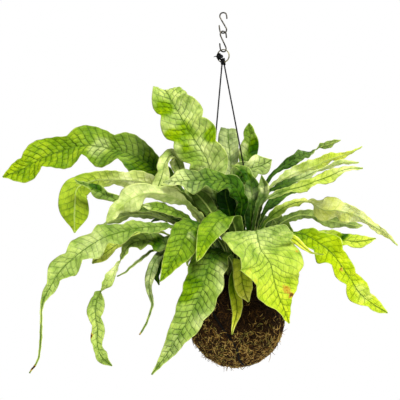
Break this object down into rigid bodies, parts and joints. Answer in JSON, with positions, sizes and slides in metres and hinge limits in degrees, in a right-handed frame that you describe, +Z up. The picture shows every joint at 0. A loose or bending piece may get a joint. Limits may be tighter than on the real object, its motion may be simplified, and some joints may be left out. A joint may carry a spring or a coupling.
{
  "type": "kokedama fern",
  "caption": "Hanging kokedama: a strap-leaved fern growing from a round ball of soil bound in moss, hung by a tied cord from a ring and S-hooks.",
  "frame": {"origin": "inside of the top bend of the upper hook, where the object hangs", "axes": "+Z up, -Y towards the front as pictured, +X to the right seen from the front"},
  "size_m": [0.4941, 0.3157, 0.4421],
  "materials": {
    "leaf_dark": "living leaf, satin",
    "leaf_bright": "living leaf, satin",
    "leaf_pale": "living leaf, satin",
    "cord": "twisted black cord, matt",
    "moss": "dry fibrous moss, matt",
    "soil": "damp soil, matt",
    "steel": "tarnished wire"
  },
  "bodies": {
    "root": {"frond_far_left": "leaf_dark", "frond_upright": "leaf_pale", "frond_left_folded": "leaf_bright", "frond_left_twisted": "leaf_dark", "frond_left_pale": "leaf_pale", "frond_left_olive": "leaf_dark", "frond_left_short": "leaf_bright", "frond_lower_left": "leaf_bright", "frond_lobed_small": "leaf_bright", "frond_long_twist": "leaf_bright", "frond_needle": "leaf_dark", "frond_hanging_left": "leaf_dark", "frond_hanging_dark": "leaf_dark", "frond_front_left": "leaf_bright", "frond_front_point": "leaf_bright", "frond_front_big": "leaf_dark", "frond_front_small": "leaf_bright", "frond_front_narrow": "leaf_dark", "frond_front_right": "leaf_pale", "frond_lower_right": "leaf_bright", "frond_right_behind": "leaf_bright", "frond_right_long": "leaf_pale", "frond_right_second": "leaf_dark", "frond_right_dark": "leaf_dark", "frond_right_pale": "leaf_pale", "frond_right_slim": "leaf_dark", "frond_right_upper": "leaf_bright", "frond_right_inner": "leaf_dark", "frond_top_olive": "leaf_dark", "frond_top_pointed": "leaf_dark", "frond_top_right": "leaf_dark", "frond_centre_twist": "leaf_bright", "frond_rolled": "leaf_dark", "frond_centre_arch": "leaf_dark", "frond_inner_shade": "leaf_dark", "frond_left_peak": "leaf_pale", "frond_inner_net": "leaf_bright", "frond_inner_narrow": "leaf_pale", "frond_inner_dark": "leaf_dark", "frond_yellow_tip": "leaf_bright", "frond_back_low_left": "leaf_bright", "frond_back_low_right": "leaf_pale", "frond_back_left": "leaf_dark", "frond_back_middle": "leaf_bright", "frond_back_right": "leaf_dark", "binding_cord": "cord", "hanger_cord_left": "cord", "hanger_cord_right": "cord", "tie_left": "cord", "tie_right": "cord", "ring_knot": "cord", "moss_shell": "moss", "soil_core": "soil", "upper_hook": "steel", "lower_hook": "steel", "split_ring": "steel"}
  },
  "joints": []
}
